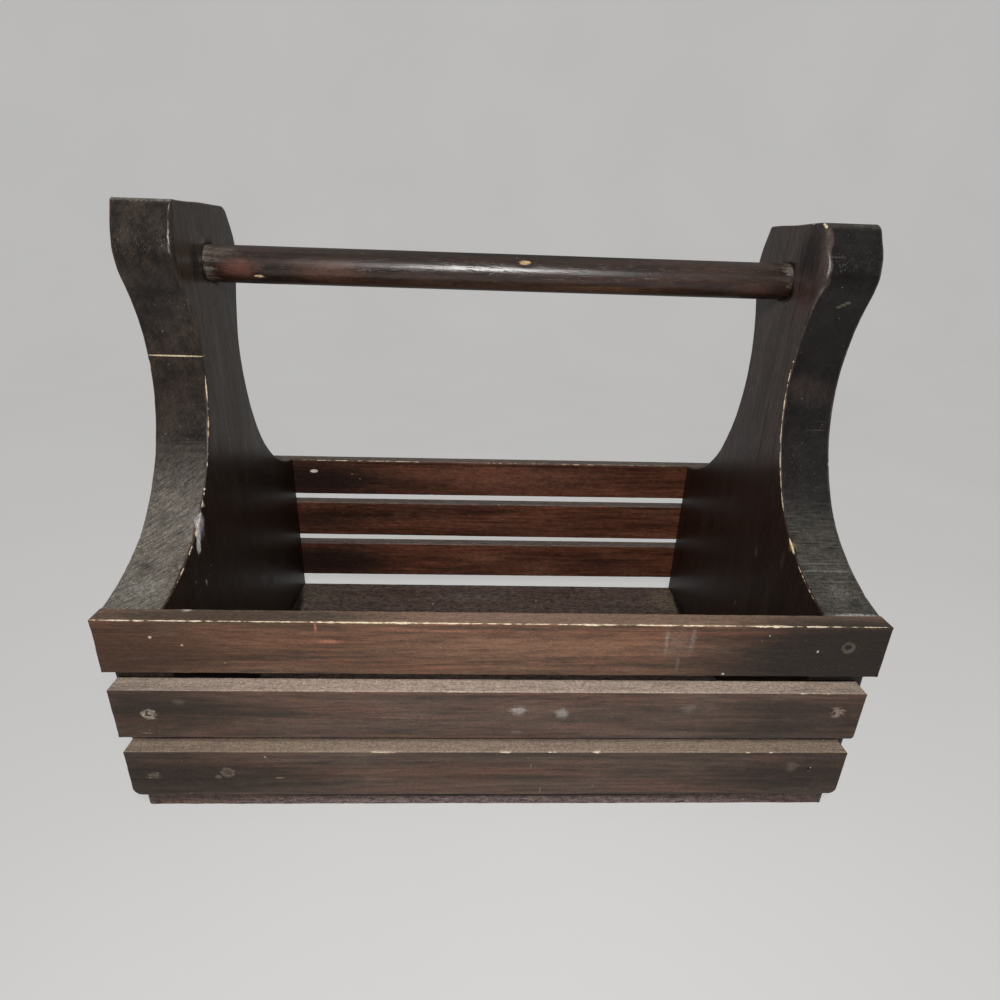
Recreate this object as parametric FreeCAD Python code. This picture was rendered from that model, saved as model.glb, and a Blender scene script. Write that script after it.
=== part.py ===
import FreeCAD, Part
import math
import os

from FreeCAD import Vector

os.makedirs("parts", exist_ok=True)

# A slatted wooden tote. Two scooped end boards stand on a thin bottom board, a dowel handle
# joins them near the top, and three slats are nailed across their edges on each long side.
# Millimetres. X runs along the handle, -Y is the front, Z is up, and the origin lies under
# the middle of the bottom board.

# The tote as a whole
inner_span = 204.0            # clear length between the two end boards
bottom_thickness = 5.5
overrun = 4.0                 # how far a drill passes the face that it opens
match_distance = 0.01         # two places nearer than this are one

# End boards, as cut from one wide board
end_thickness = 18.5
end_depth = 143.0             # front edge to back edge below the scoops
end_height = 188.9            # from the bottom board to the flat crown
horn_drop = 1.1               # from the top slat's upper edge down to where a scoop starts
head_height = 19.0            # from the crown down to where a scoop ends
waist_width = 35.6            # narrowest width, between the two scoops
waist_rise_share = 0.653      # height of the waist between the scoop's two ends
ear_width = 54.6              # widest part of the head
crown_width = 40.5            # flat top before its corners are rounded
shoulder_drop = 11.5          # from the crown down to where the head starts to narrow
ear_round = 7.0
shoulder_round = 8.0
crown_round = 3.5
horn_round = 1.4
end_arris = 0.5               # eased edge round both faces of a board

# Dowel handle
dowel_diameter = 12.5
dowel_drop = 19.2             # from the crown down to the handle's axis
socket_depth = 10.0           # blind hole in the inner face of each end board
dowel_clearance = 0.05        # round the dowel and at its ends
dowel_bevel = 0.8

# Slats
slat_end_inset = 0.5          # each slat stops short of the end boards' outer faces
slat_height = 18.9
slat_thickness = 6.35
slat_arris = 0.45
bottom_gap = 6.1              # from the bottom board up to the bottom slat
lower_gap = 5.7               # from the bottom slat up to the middle slat
upper_gap = 6.4               # from the middle slat up to the top slat

# Bottom board
bottom_arris = 0.5
bottom_nail_pitch = 36.0      # between the three nails under each end board

# Finishing nails
nail_length = 28.0
nail_shank_diameter = 1.6
nail_head_diameter = 2.8
nail_head_length = 1.2
nail_neck_length = 0.7
nail_tip_length = 2.6
nail_point_diameter = 0.3
nail_set = 0.6                # depth of a punched head below the wood
nail_clearance = 0.04         # round a nail in its hole
bottom_nail_inset = 9.2       # from an end board's inner face to the nails under it
nail_flats = 12               # a nail is too thin for its roundness to matter

# Hand-driven nails don't line up. For each slat, its left and its right nail: how far from
# the end board's inner face across its thickness, and how far up the slat's height.
nail_inset_shares = {"top": (0.42, 0.30), "middle": (0.39, 0.46), "bottom": (0.52, 0.25)}
nail_height_shares = {"top": (0.52, 0.59), "middle": (0.51, 0.60), "bottom": (0.47, 0.60)}

# Places worked out from the sizes above
half_span = inner_span / 2
half_depth = end_depth / 2
foot_z = bottom_thickness
crown_z = foot_z + end_height
handle_z = crown_z - dowel_drop
outer_x = half_span + end_thickness
slat_length = 2 * (outer_x - slat_end_inset)
bottom_slat_z = foot_z + bottom_gap
middle_slat_z = bottom_slat_z + slat_height + lower_gap
top_slat_z = middle_slat_z + slat_height + upper_gap

horn_z = top_slat_z + slat_height - horn_drop
ear_z = crown_z - head_height
shoulder_z = crown_z - shoulder_drop
waist_z = horn_z + waist_rise_share * (ear_z - horn_z)

LEVELS = {"top": top_slat_z, "middle": middle_slat_z, "bottom": bottom_slat_z}
ENDS = {"left": -1, "right": 1}
SIDES = {"front": -1, "back": 1}
X_AXIS = Vector(1, 0, 0)
Z_AXIS = Vector(0, 0, 1)


def save(name, shape):
    """Write one node of the assembly."""
    shape.exportStep("parts/" + name + ".step")


def edges_through(solid, y, z):
    """The edges that run along X at one place of the side view."""
    found = []
    for edge in solid.Edges:
        ends = [vertex.Point for vertex in edge.Vertexes]
        near = [math.hypot(p.y - y, p.z - z) < match_distance for p in ends]
        if len(ends) == 2 and all(near):
            found.append(edge)
    return found


def edges_on_faces(solid, low_x, high_x, above_z):
    """The edges that bound the two broad faces of an end board, apart from its foot."""
    found = []
    for edge in solid.Edges:
        box = edge.BoundBox
        flat = box.XLength < match_distance
        on_face = min(abs(box.XMin - low_x), abs(box.XMin - high_x)) < match_distance
        if flat and on_face and box.ZMax > above_z + match_distance:
            found.append(edge)
    return found


def nail_ring(radius, z):
    """One cross-section of a nail, square to its length."""
    turns = [2 * math.pi * k / nail_flats for k in range(nail_flats + 1)]
    return Part.makePolygon([Vector(radius * math.cos(a), radius * math.sin(a), z) for a in turns])


def nail(grow, mouth):
    """A finishing nail pointing down, its head's top at the origin.

    With a clearance to grow by and a mouth length, it is the drill for that nail.
    """
    head = nail_head_diameter / 2 + grow
    shank = nail_shank_diameter / 2 + grow
    point = nail_point_diameter / 2 + grow
    neck_z = -nail_head_length - grow
    rings = [
        nail_ring(head, mouth),
        nail_ring(head, neck_z),
        nail_ring(shank, neck_z - nail_neck_length),
        nail_ring(shank, nail_tip_length - nail_length),
        nail_ring(point, -nail_length - grow),
    ]
    return Part.makeLoft(rings, True, True)


def driven(face_point, direction):
    """A nail driven at a face point, and the drill that makes room for it."""
    turn = FreeCAD.Rotation(Z_AXIS, direction.negative())
    head_point = face_point + direction * nail_set
    placement = FreeCAD.Placement(head_point, turn)
    piece = nail(0, 0)
    drill = nail(nail_clearance, nail_set + overrun)
    piece.Placement = placement
    drill.Placement = placement
    return piece, drill


def slat_nails(side, level):
    """The two nails of one slat, one over the edge of each end board."""
    face_y = SIDES[side] * (half_depth + slat_thickness)
    inward = Vector(0, -SIDES[side], 0)
    nails = []
    for end, inset, rise in zip(ENDS.values(), nail_inset_shares[level], nail_height_shares[level]):
        nail_x = end * (half_span + inset * end_thickness)
        nail_z = LEVELS[level] + rise * slat_height
        nails.append(driven(Vector(nail_x, face_y, nail_z), inward))
    return nails


def bottom_nails(end):
    """Three nails driven up through the bottom board into one end board."""
    nail_x = end * (half_span + bottom_nail_inset)
    places = [-bottom_nail_pitch, 0, bottom_nail_pitch]
    return [driven(Vector(nail_x, y, 0), Z_AXIS) for y in places]


def handle_nail(end):
    """The nail driven from outside through an end board into the dowel's end."""
    return driven(Vector(end * outer_x, 0, handle_z), Vector(-end, 0, 0))


def end_outline():
    """The side view of an end board: straight foot, scooped sides, eared head."""
    ear_y = ear_width / 2
    crown_y = crown_width / 2
    edges = []
    for side in SIDES.values():
        foot = Vector(0, side * half_depth, foot_z)
        horn = Vector(0, side * half_depth, horn_z)
        waist = Vector(0, side * waist_width / 2, waist_z)
        ear = Vector(0, side * ear_y, ear_z)
        shoulder = Vector(0, side * ear_y, shoulder_z)
        crown = Vector(0, side * crown_y, crown_z)
        edges.append(Part.makeLine(foot, horn))
        edges.append(Part.Arc(horn, waist, ear).toShape())
        edges.append(Part.makeLine(ear, shoulder))
        edges.append(Part.makeLine(shoulder, crown))
    edges.append(Part.makeLine(Vector(0, -half_depth, foot_z), Vector(0, half_depth, foot_z)))
    edges.append(Part.makeLine(Vector(0, -crown_y, crown_z), Vector(0, crown_y, crown_z)))
    rounds = [
        (half_depth, horn_z, horn_round),
        (ear_y, ear_z, ear_round),
        (ear_y, shoulder_z, shoulder_round),
        (crown_y, crown_z, crown_round),
    ]
    return Part.Wire(Part.sortEdges(edges)[0]), rounds


def end_board(end):
    """One end board, with the dowel's socket and every nail hole that enters it."""
    wire, rounds = end_outline()
    board = Part.Face(wire).extrude(X_AXIS * end_thickness)
    for y, z, radius in rounds:
        for side in SIDES.values():
            board = board.makeFillet(radius, edges_through(board, side * y, z))
    arrises = edges_on_faces(board, 0, end_thickness, foot_z)
    board = board.makeChamfer(end_arris, arrises)
    inner_x = end * half_span
    board.translate(X_AXIS * (inner_x if end > 0 else inner_x - end_thickness))

    bore_radius = dowel_diameter / 2 + dowel_clearance
    bore_length = socket_depth + overrun
    mouth = Vector(end * (half_span - overrun), 0, handle_z)
    drills = [Part.makeCylinder(bore_radius, bore_length, mouth, X_AXIS * end)]
    drills.append(handle_nail(end)[1])
    drills += [drill for _, drill in bottom_nails(end)]
    for side in SIDES:
        for level in LEVELS:
            drills += [drill for _, drill in slat_nails(side, level)]
    return board.cut(Part.makeCompound(drills))


def handle_dowel():
    """The round handle, bevelled at both ends, which sit in the blind sockets."""
    half_length = half_span + socket_depth - dowel_clearance
    start = Vector(-half_length, 0, handle_z)
    dowel = Part.makeCylinder(dowel_diameter / 2, 2 * half_length, start, X_AXIS)
    rims = [edge for edge in dowel.Edges if len(edge.Vertexes) == 1]
    dowel = dowel.makeChamfer(dowel_bevel, rims)
    drills = [handle_nail(end)[1] for end in ENDS.values()]
    return dowel.cut(Part.makeCompound(drills))


def slat(side, level):
    """One slat with eased edges, lying flat against the edges of both end boards."""
    near_y = half_depth if SIDES[side] > 0 else -half_depth - slat_thickness
    corner = Vector(-slat_length / 2, near_y, LEVELS[level])
    board = Part.makeBox(slat_length, slat_thickness, slat_height, corner)
    board = board.makeChamfer(slat_arris, board.Edges)
    drills = [drill for _, drill in slat_nails(side, level)]
    return board.cut(Part.makeCompound(drills))


def bottom_board():
    """The thin board under both end boards, flush with their outer faces and edges."""
    corner = Vector(-outer_x, -half_depth, 0)
    board = Part.makeBox(2 * outer_x, end_depth, bottom_thickness, corner)
    board = board.makeChamfer(bottom_arris, board.Edges)
    drills = []
    for end in ENDS.values():
        drills += [drill for _, drill in bottom_nails(end)]
    return board.cut(Part.makeCompound(drills))


def nail_group(driven_nails):
    """Nails of one kind and place, kept as separate solids."""
    return Part.makeCompound([piece for piece, _ in driven_nails])


save("bottom_board", bottom_board())
save("handle_dowel", handle_dowel())
for end_name, end_sign in ENDS.items():
    save(end_name + "_end_board", end_board(end_sign))
    save(end_name + "_bottom_nails", nail_group(bottom_nails(end_sign)))
for side_name in SIDES:
    for level_name in LEVELS:
        slat_name = side_name + "_slat_" + level_name
        save(slat_name, slat(side_name, level_name))
        save(slat_name + "_nails", nail_group(slat_nails(side_name, level_name)))
save("handle_nails", nail_group([handle_nail(end) for end in ENDS.values()]))
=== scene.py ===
import cmath
import math
from collections import namedtuple

import bmesh
import bpy
import numpy as np
from mathutils import Euler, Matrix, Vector, geometry


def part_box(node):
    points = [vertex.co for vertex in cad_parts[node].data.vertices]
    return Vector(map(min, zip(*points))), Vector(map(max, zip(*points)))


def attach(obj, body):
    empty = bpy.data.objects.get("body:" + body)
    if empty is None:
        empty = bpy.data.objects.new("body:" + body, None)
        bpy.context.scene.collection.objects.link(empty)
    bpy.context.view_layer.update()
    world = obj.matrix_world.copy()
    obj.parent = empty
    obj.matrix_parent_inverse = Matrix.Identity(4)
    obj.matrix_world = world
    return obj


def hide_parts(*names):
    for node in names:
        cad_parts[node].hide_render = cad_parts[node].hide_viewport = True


# A slatted wooden tote in dark worn stain: two scooped end boards, a dowel handle, six nailed
# slats and a thin bottom board. Lengths are millimetres, and turn into metres where a mesh is
# made. X runs along the handle, -Y is the front and Z is up.

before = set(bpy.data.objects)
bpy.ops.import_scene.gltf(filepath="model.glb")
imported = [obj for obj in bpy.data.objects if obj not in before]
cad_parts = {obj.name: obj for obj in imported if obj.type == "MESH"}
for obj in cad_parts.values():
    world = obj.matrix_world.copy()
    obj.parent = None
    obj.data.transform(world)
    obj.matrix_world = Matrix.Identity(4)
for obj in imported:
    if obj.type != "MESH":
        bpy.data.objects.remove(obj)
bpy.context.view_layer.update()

MM = 0.001


# Small tools

# Large odd numbers that scatter the corners of the noise lattice
AXIS_KEYS = [73856093, 19349663, 83492791]
SEED_KEY = 2654435761
MIX_KEY = 1274126177
BITS = 0x7FFFFFFF


def node_box(name):
    """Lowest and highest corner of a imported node."""
    low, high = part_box(name)
    return np.array(low) / MM, np.array(high) / MM


def linear(red, green, blue):
    """A colour given on the usual 0 to 255 scale, as a shader socket takes it."""
    shares = [channel / 255 for channel in (red, green, blue)]
    return tuple(c / 12.92 if c <= 0.04045 else ((c + 0.055) / 1.055) ** 2.4 for c in shares) + (1,)


def value_noise(places, seed):
    """Smooth random values from -1 to 1, on a lattice of unit spacing."""
    cell = np.floor(places).astype(np.int64)
    blend = places - cell
    blend = blend * blend * (3 - 2 * blend)
    total = np.zeros(len(places))
    for corner in np.ndindex(2, 2, 2):
        key = (cell + corner) * AXIS_KEYS
        mixed = (key[:, 0] ^ key[:, 1] ^ key[:, 2] ^ seed * SEED_KEY) & BITS
        for _ in range(2):
            mixed = (mixed ^ (mixed >> 13)) * MIX_KEY & BITS
        share = np.where(corner, blend, 1 - blend).prod(axis=1)
        total += share * (mixed / (BITS // 2) - 1)
    return total


def smooth_step(value, low, high):
    """0 below low, 1 above high, and an even ease between them."""
    t = np.clip((value - low) / (high - low), 0, 1)
    return t * t * (3 - 2 * t)


def strip(lower, upper, count):
    """Quads between two rings of vertices, given by the index of their first ones."""
    return [(lower + k, lower + (k + 1) % count, upper + (k + 1) % count, upper + k)
            for k in range(count)]


# Outlines, as closed rings of points

FINE_STEP = 0.25              # spacing of the points that an outline is worked out on
FINEST_TURN = 0.2             # radians from one kept point to the next, at most
CORNER_BASE = 0.3             # every corner of an outline is eased by about this much
FOLD_SHARE = 0.6              # how much of a curve's radius an inset may use up
FOLD_GROWTH = 0.6             # how much more it may be for each millimetre from the curve


def arc_points(start, middle, end, count):
    """Points along the circle through three places, without its two ends."""
    a, b, c = (complex(*place) for place in (start, middle, end))
    w = (c - a) / (b - a)
    centre = a - (a - b) * (w - abs(w) ** 2) / (2j * w.imag)
    radius = abs(a - centre)
    first = cmath.phase(a - centre)
    turn = cmath.phase((c - centre) / (a - centre))
    angles = [first + turn * k / count for k in range(1, count)]
    return [(centre.real + radius * math.cos(t), centre.imag + radius * math.sin(t)) for t in angles]


def resample(corners, step):
    """Points one step apart along a closed run of corners."""
    ring = np.array(list(corners) + [corners[0]], float)
    lengths = np.hypot(*np.diff(ring, axis=0).T)
    far = np.concatenate([[0], np.cumsum(lengths)])
    at = np.linspace(0, far[-1], int(round(far[-1] / step)), endpoint=False)
    return np.stack([np.interp(at, far, ring[:, 0]), np.interp(at, far, ring[:, 1])], axis=1)


def soften(points, rounds, step, base):
    """Round a ring's corners: base everywhere, more near each (u, v, radius) of rounds."""
    spread = np.full(len(points), base)
    for u, v, radius in rounds:
        near = np.exp(-((points - (u, v)) ** 2).sum(axis=1) / radius ** 2)
        spread = np.maximum(spread, 0.5 * radius * near)
    spread = spread[:, None] / step
    total = points.copy()
    weight = np.ones((len(points), 1))
    for shift in range(1, int(3 * spread.max()) + 2):
        share = np.exp(-(shift / spread) ** 2 / 2)
        total += share * (np.roll(points, shift, axis=0) + np.roll(points, -shift, axis=0))
        weight += 2 * share
    return total / weight


def turning(points):
    """How sharply a ring turns at each point, in radians a millimetre; left is positive."""
    after = np.roll(points, -1, axis=0) - points
    before = points - np.roll(points, 1, axis=0)
    cross = before[:, 0] * after[:, 1] - before[:, 1] * after[:, 0]
    turn = np.arctan2(cross, (before * after).sum(axis=1))
    return turn / (0.5 * (np.hypot(*before.T) + np.hypot(*after.T)))


def thin_out(points, fine, step):
    """Keep points a step apart on straight runs, and closer together where the ring turns."""
    kept, travelled, turned = [], step, 0.0
    for index, turn in enumerate(turning(points)):
        travelled += fine
        turned += abs(turn) * fine
        if travelled >= step or turned >= FINEST_TURN:
            kept.append(index)
            travelled, turned = 0.0, 0.0
    return points[kept]


def worn_outline(corners, rounds, step, base=CORNER_BASE):
    """A board's outline from its sharp corners and the radius near each of them."""
    points = soften(resample(corners, FINE_STEP), rounds, FINE_STEP, base)
    return thin_out(points, FINE_STEP, step)


def lengths_along(outline):
    """The length from each point of a ring to the next."""
    return np.hypot(*(np.roll(outline, -1, axis=0) - outline).T)


def inset_limit(outline):
    """How far in a ring may be drawn at each point before its corners fold over."""
    limit = FOLD_SHARE / np.maximum(turning(outline), 0.02)
    gaps = lengths_along(outline)
    for _ in range(12):
        limit = np.minimum(limit, np.roll(limit + FOLD_GROWTH * gaps, 1))
        limit = np.minimum(limit, np.roll(limit, -1) + FOLD_GROWTH * gaps)
    return limit


def outward(points):
    """Unit normals of a counterclockwise ring."""
    after = np.roll(points, -1, axis=0) - points
    after /= np.hypot(*after.T)[:, None]
    along = after + np.roll(after, 1, axis=0)
    along /= np.hypot(*along.T)[:, None]
    return np.stack([along[:, 1], -along[:, 0]], axis=1)


# Boards. A board is an outline in (u, v) with a thickness t. Face 0 is at t = 0.

# A dent or nail dimple in face 0
Dent = namedtuple("Dent", "u v radius depth")
# A blind hole in face 1
Hole = namedtuple("Hole", "u v radius depth")

ARC_STEPS = 4
BARE_SHARES = (0, 0.4, 1, 0.4, 0)
SUPPORT = 0.35                # flat margin beside a rounded edge, which keeps its shading tight
# How much of the inset's limit the rounding and that margin may take
ROUND_SHARE, SUPPORT_SHARE = 0.6, 0.35
DENT_RINGS = (0, 0.45, 0.8, 0.95, 1.1, 1.5)
DENT_SIDES = 14
HOLE_SIDES = 40
HOLE_LIP = 0.4                # depth of the first ring of vertices inside a hole
ROW_PITCH = 0.866             # height of a triangle with sides of 1
LOWEST_RADIUS = 0.15          # no edge is sharper than this
RAISED = 0.04                 # the wood swells by this much at most
WORN_SEED, DENT_SEED, SAW_SEED = 11, 9, 5


def edge_wear(points, face, base, coverage, chips, seed):
    """Rounding radius and bareness of a face's edge at every point of the outline."""
    places = np.column_stack([points, np.full(len(points), 40.0 * face)])
    uneven = value_noise(places * 0.21, seed) + 0.5 * value_noise(places * 0.6, seed + 1)
    rubbed = 0.6 * value_noise(places * 0.12, seed + 2) + 0.5 * value_noise(places * 0.5, seed + 3)
    bare = smooth_step(rubbed, 0.75 - 1.6 * coverage, 1.0 - 1.6 * coverage)
    dashes = 0.8 + 0.4 * value_noise(places * 0.9, seed + 4)
    radius = base * (1 + 0.25 * uneven + 0.3 * bare)
    for u, v, reach_u, reach_v, grow, worn in chips:
        reach = ((points - (u, v)) / (reach_u, reach_v)) ** 2
        near = np.exp(-reach.sum(axis=1) ** 2)
        radius = radius + grow * near * (1 + 0.4 * uneven)
        bare = np.maximum(bare, worn * smooth_step(near, 0.05, 0.5) * dashes)
    return np.maximum(radius, LOWEST_RADIUS), bare


def inside(points, ring):
    """Which points lie inside a ring."""
    crossings = np.zeros(len(points), bool)
    for (u0, v0), (u1, v1) in zip(ring, np.roll(ring, -1, axis=0)):
        if v0 == v1:
            continue
        spans = (points[:, 1] > v0) != (points[:, 1] > v1)
        crossings ^= spans & (points[:, 0] < u0 + (points[:, 1] - v0) * (u1 - u0) / (v1 - v0))
    return crossings


def clearance(points, ring):
    """Distance from each point to the nearest point of a ring."""
    return np.array([np.hypot(*(ring - p).T).min() for p in points])


def fill_points(ring, spacing, dents, hole, seed):
    """Points for the inside of a face: an even jittered field, with rings at each dent."""
    draws = np.random.default_rng(seed)
    low, high = ring.min(axis=0), ring.max(axis=0)
    rows = int((high[1] - low[1]) / (spacing * ROW_PITCH)) + 1
    columns = int((high[0] - low[0]) / spacing) + 1
    grid = [(low[0] + (c + r % 2 / 2) * spacing, low[1] + r * spacing * ROW_PITCH)
            for r in range(rows) for c in range(columns)]
    field = np.array(grid) + draws.uniform(-0.15, 0.15, (len(grid), 2)) * spacing
    field = field[inside(field, ring)]
    field = field[clearance(field, ring) > 0.45 * spacing]
    for dent in dents:
        apart = np.hypot(*(field - (dent.u, dent.v)).T)
        field = field[apart > dent.radius * DENT_RINGS[-1] + 0.3 * spacing]
    if hole:
        apart = np.hypot(*(field - hole[:2]).T)
        field = field[apart > hole.radius + 0.4 * spacing]
    rings = [field]
    for dent in dents:
        for share in DENT_RINGS:
            count = max(1, int(DENT_SIDES * min(share, 1)))
            turn = np.arange(count) * 2 * math.pi / count + share
            rings.append(np.stack([dent.u + share * dent.radius * np.cos(turn),
                                   dent.v + share * dent.radius * np.sin(turn)], axis=1))
    return np.concatenate(rings)


def fill_face(ring, extra, hole_ring):
    """Triangles over a ring and extra points, as indices into ring, extra and hole_ring."""
    joined = np.concatenate([ring, extra, hole_ring])
    edges = [(k, (k + 1) % len(ring)) for k in range(len(ring))]
    first = len(ring) + len(extra)
    edges += [(first + k, first + (k + 1) % len(hole_ring)) for k in range(len(hole_ring))]
    cut = geometry.delaunay_2d_cdt([Vector(p) for p in joined], edges, [], 1, 1e-6)
    source = [origins[0] for origins in cut[3]]
    triangles = [[source[v] for v in face] for face in cut[2]]
    if not len(hole_ring):
        return triangles
    centre = hole_ring.mean(axis=0)
    reach = np.hypot(*(hole_ring[0] - centre)) * 0.98
    middles = joined[np.array(triangles)].mean(axis=1)
    keep = np.hypot(*(middles - centre).T) > reach
    return [triangle for triangle, kept in zip(triangles, keep) if kept]


def dimple(distance, depth):
    """Depth of a punched dimple at a share of its radius from its middle."""
    wall = 1 - smooth_step(distance, 0.75, 1.05)
    lip = 0.16 * np.exp(-((distance - 1.2) / 0.22) ** 2)
    return depth * (wall * (0.8 + 0.2 * distance) - lip)


def edge_stations(edges, thickness, limit, side_steps):
    """Rings from face 0 round to face 1: how far in, how deep, how bare, and whether sawn."""
    (radius_0, bare_0), (radius_1, bare_1) = edges
    radius_0, radius_1 = (np.minimum(r, ROUND_SHARE * limit) for r in (radius_0, radius_1))
    support = np.minimum(SUPPORT, SUPPORT_SHARE * limit)
    none = np.zeros(len(limit))
    quarter = [math.pi / 2 * k / ARC_STEPS for k in range(ARC_STEPS + 1)]
    stations = [(radius_0 + support, none, none, 0)]
    for turn, share in zip(quarter, BARE_SHARES):
        depth = radius_0 * (1 - math.cos(turn))
        stations.append((radius_0 * (1 - math.sin(turn)), depth, bare_0 * share, 0))
    low, high = radius_0 + support, thickness - radius_1 - support
    for k in range(side_steps + 1):
        stations.append((none, low + (high - low) * k / side_steps, none, 1))
    for turn, share in zip(reversed(quarter), BARE_SHARES):
        depth = thickness - radius_1 * (1 - math.cos(turn))
        stations.append((radius_1 * (1 - math.sin(turn)), depth, bare_1 * share, 0))
    stations.append((radius_1 + support, none + thickness, none, 0))
    return stations


def bore(hole, ring, first, thickness):
    """The wall and floor of a blind hole whose rim ends just before the vertex first."""
    rows, faces = [], []
    for depth in (HOLE_LIP, 0.5 * hole.depth, hole.depth):
        rows.append(np.column_stack([ring, np.full(len(ring), thickness - depth)]))
        faces += strip(first - len(ring), first, len(ring))
        first += len(ring)
    rows.append(np.array([[hole.u, hole.v, thickness - hole.depth]]))
    rim = first - len(ring)
    faces += [(rim + k, rim + (k + 1) % len(ring), first) for k in range(len(ring))]
    return rows, faces


def board_surface(outline, thickness, stations, spacing, dents, hole, seed):
    """Vertices (u, v, t) and faces of a board: its edge first, then face 0 and face 1."""
    count = len(outline)
    normals = outward(outline)
    rows = [np.column_stack([outline - normals * inset[:, None], depth])
            for inset, depth, _, _ in stations]
    faces = []
    for s in range(len(stations) - 1):
        faces += strip(s * count, (s + 1) * count, count)
    starts = (0, (len(stations) - 1) * count)
    rims = (rows[0][:, :2], rows[-1][:, :2])
    for face, (start, ring) in enumerate(zip(starts, rims)):
        hole_here = hole if face == 1 else None
        dents_here = () if face else dents
        extra = fill_points(ring, spacing, dents_here, hole_here, seed + face)
        hole_ring = np.zeros((0, 2))
        if hole_here:
            turns = np.arange(HOLE_SIDES) * 2 * math.pi / HOLE_SIDES
            spokes = np.stack([np.cos(turns), np.sin(turns)], axis=1)
            hole_ring = np.array(hole[:2]) + hole.radius * spokes
        added = np.concatenate([extra, hole_ring])
        total = sum(map(len, rows))
        lookup = np.concatenate([np.arange(start, start + count), total + np.arange(len(added))])
        faces += [tuple(int(lookup[v]) for v in tri) for tri in fill_face(ring, extra, hole_ring)]
        rows.append(np.column_stack([added, np.full(len(added), thickness * face)]))
        if hole_here:
            wall, wall_faces = bore(hole, hole_ring, total + len(added), thickness)
            rows += wall
            faces += wall_faces
    return np.concatenate(rows), faces


def board(name, outline, thickness, place, edges, spacing, side_steps, seed,
          dents=(), hole=None, waves=0.09, grain=0, saw=0.0):
    """A board's mesh with rounded, worn edges, gentle waves, dents and a blind hole.

    place turns (u, v, t) rows into (x, y, z) rows. edges holds (radius, bareness) for each
    face. grain is the axis that the fibres run along.
    """
    stations = edge_stations(edges, thickness, inset_limit(outline), side_steps)
    local, faces = board_surface(outline, thickness, stations, spacing, dents, hole, seed)
    world = place(local)
    mesh = smooth_mesh(name, world, faces)

    padding = np.zeros(len(local) - len(outline) * len(stations))
    run = np.concatenate([[0], np.cumsum(lengths_along(outline))[:-1]])
    travel = np.concatenate([run] * len(stations) + [padding])
    bare = np.concatenate([bare for _, _, bare, _ in stations] + [padding])
    band = np.repeat([float(flat) for _, _, _, flat in stations], len(outline))
    band = np.concatenate([band, padding])

    sink = weathering(world, seed, waves, grain)
    near_face = local[:, 2] < 0.01
    for dent in dents:
        apart = np.hypot(*(local[:, :2] - (dent.u, dent.v)).T) / dent.radius
        rough = 1 + 0.35 * value_noise(world * 1.1, seed + DENT_SEED)
        sink = sink + near_face * dimple(apart, dent.depth) * rough
    saw_place = np.column_stack([travel * 0.75, world[:, 0] * 0.04, 0 * travel])
    sink = sink + saw * band * (0.5 + 0.5 * value_noise(saw_place, seed + SAW_SEED))
    press_in(mesh, world, np.maximum(sink, -RAISED))
    give_attributes(mesh, bare=bare, sawn=band, run=travel)
    return dressed(name, mesh)


def weathering(world, seed, amount, grain):
    """How far the surface has worn in, in long shallow waves along the grain."""
    stretch = np.full(3, 0.11)
    stretch[grain] = 0.018
    wide = value_noise(world * stretch, seed + 20)
    fine = value_noise(world * stretch * 3.1, seed + 21)
    return amount * (0.5 + 0.35 * wide + 0.15 * fine)


def smooth_mesh(name, world, faces):
    """A mesh with every face turned outward and smooth shading."""
    mesh = bpy.data.meshes.new(name)
    mesh.from_pydata((world * MM).tolist(), [], faces)
    work = bmesh.new()
    work.from_mesh(mesh)
    bmesh.ops.recalc_face_normals(work, faces=work.faces)
    work.to_mesh(mesh)
    work.free()
    mesh.shade_smooth()
    mesh.update()
    return mesh


def press_in(mesh, world, sink):
    """Move every vertex inward by its own depth, and none below the floor."""
    normals = np.zeros(len(world) * 3, np.float32)
    mesh.vertex_normals.foreach_get("vector", normals)
    world = world - normals.reshape(-1, 3).astype(float) * sink[:, None]
    world[:, 2] = np.maximum(world[:, 2], 0)
    mesh.vertices.foreach_set("co", (world * MM).ravel())


def give_attributes(mesh, **values):
    """Store numbers for each vertex, for the material to read."""
    for name, numbers in values.items():
        layer = mesh.attributes.new(name, "FLOAT", "POINT")
        layer.data.foreach_set("value", np.asarray(numbers, np.float32))


def dressed(name, mesh):
    """An object for a mesh, in the scene."""
    made = bpy.data.objects.new(name, mesh)
    bpy.context.scene.collection.objects.link(made)
    return made


# Node materials

class Value:
    """A number that nodes work out. Sums with it make further nodes."""

    def __init__(self, graph, socket):
        self.graph = graph
        self.socket = socket

    def __mul__(self, other):
        return self.graph.math("MULTIPLY", self, other)

    def __add__(self, other):
        return self.graph.math("ADD", self, other)

    def __sub__(self, other):
        return self.graph.math("SUBTRACT", self, other)

    def __rsub__(self, other):
        return self.graph.math("SUBTRACT", other, self)


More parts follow.
